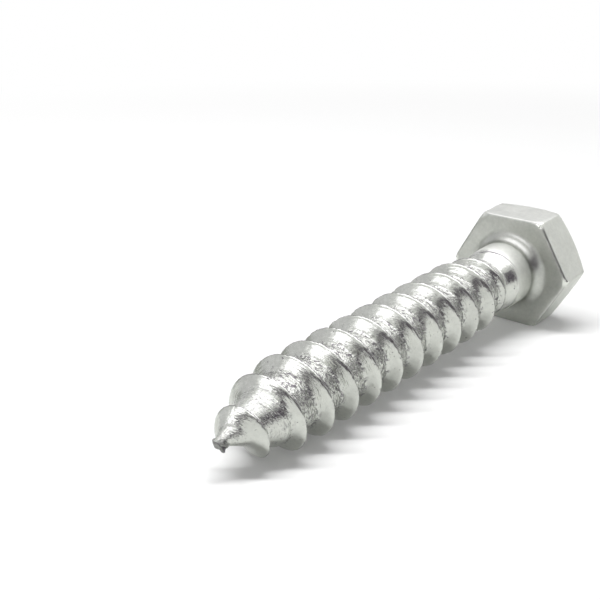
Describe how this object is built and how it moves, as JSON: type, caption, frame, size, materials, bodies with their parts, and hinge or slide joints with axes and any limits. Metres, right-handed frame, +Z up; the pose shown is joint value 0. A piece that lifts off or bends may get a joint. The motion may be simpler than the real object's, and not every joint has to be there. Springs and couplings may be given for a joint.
{
  "type": "lag screw",
  "caption": "Hex head lag screw with a short plain shank, a coarse right-hand wood thread and a gimlet point, lying on its side.",
  "frame": {"origin": "centre of the bearing face under the head, on the screw's axis", "axes": "+X level, over the screw's axis, from the head towards the point; the axis itself dips below +X by the angle at which the screw lies at rest; +Z up; a flat of the head faces down"},
  "size_m": [0.0569, 0.0158, 0.0141],
  "materials": {
    "zinc_plated_steel": "bright zinc plate, smooth on the head and flanks, finely pitted in the thread's root"
  },
  "bodies": {
    "root": {"lag_screw": "zinc_plated_steel"}
  },
  "joints": []
}
